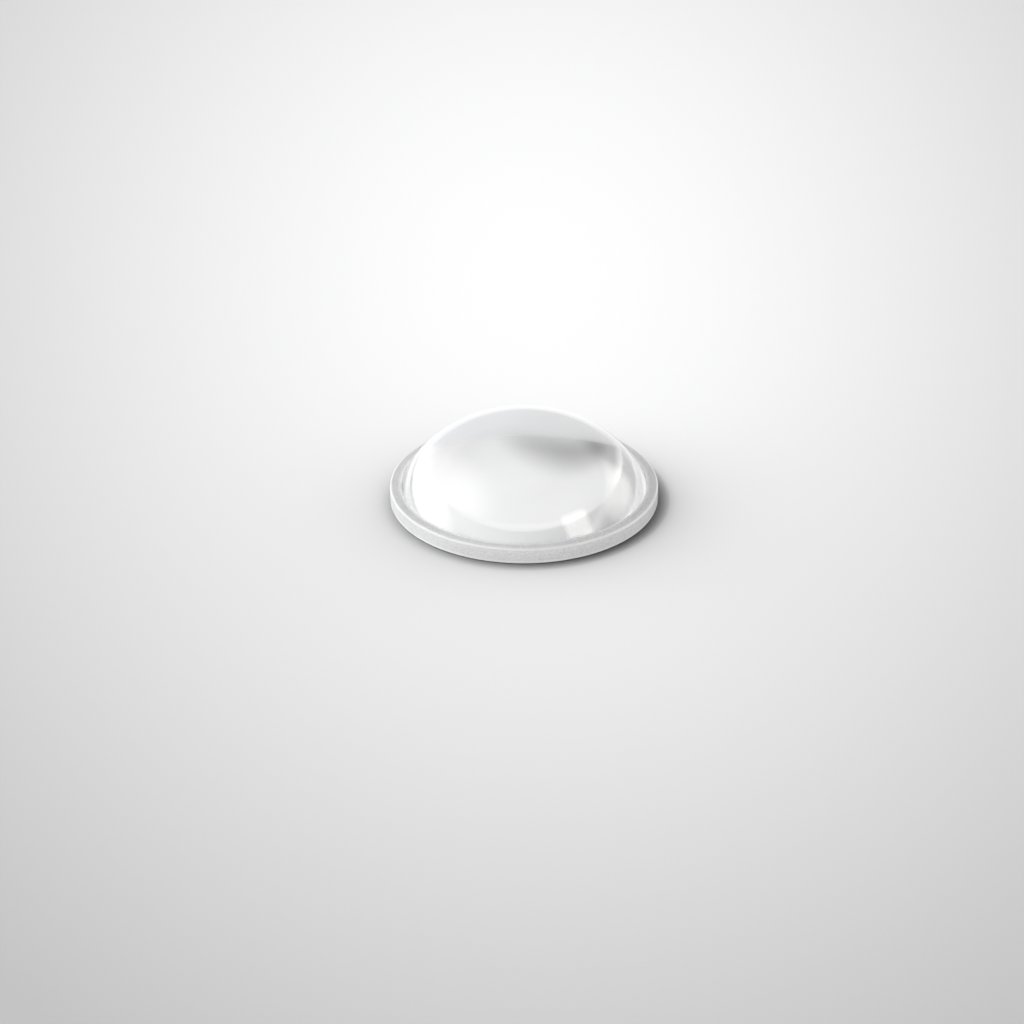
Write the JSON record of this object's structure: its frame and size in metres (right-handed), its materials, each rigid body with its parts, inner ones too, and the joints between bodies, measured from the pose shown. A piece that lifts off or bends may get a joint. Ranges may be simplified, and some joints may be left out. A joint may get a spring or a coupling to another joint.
{
  "type": "cabinet door bumper",
  "caption": "Clear self-adhesive bumper: a low dome on a thin round flange, moulded in one piece with a flat underside. It cushions a cabinet door or drawer as it shuts.",
  "frame": {"origin": "middle of the flat underside of the flange, on the face that sticks to the door", "axes": "+Z out of the door through the crown of the dome; X and Y lie in the underside and are alike, because the bumper is round"},
  "size_m": [0.01, 0.01, 0.0031],
  "materials": {
    "clear_polyurethane": "clear, gloss on the dome and satin on the flange"
  },
  "bodies": {
    "root": {"bumper": "clear_polyurethane"}
  },
  "joints": []
}
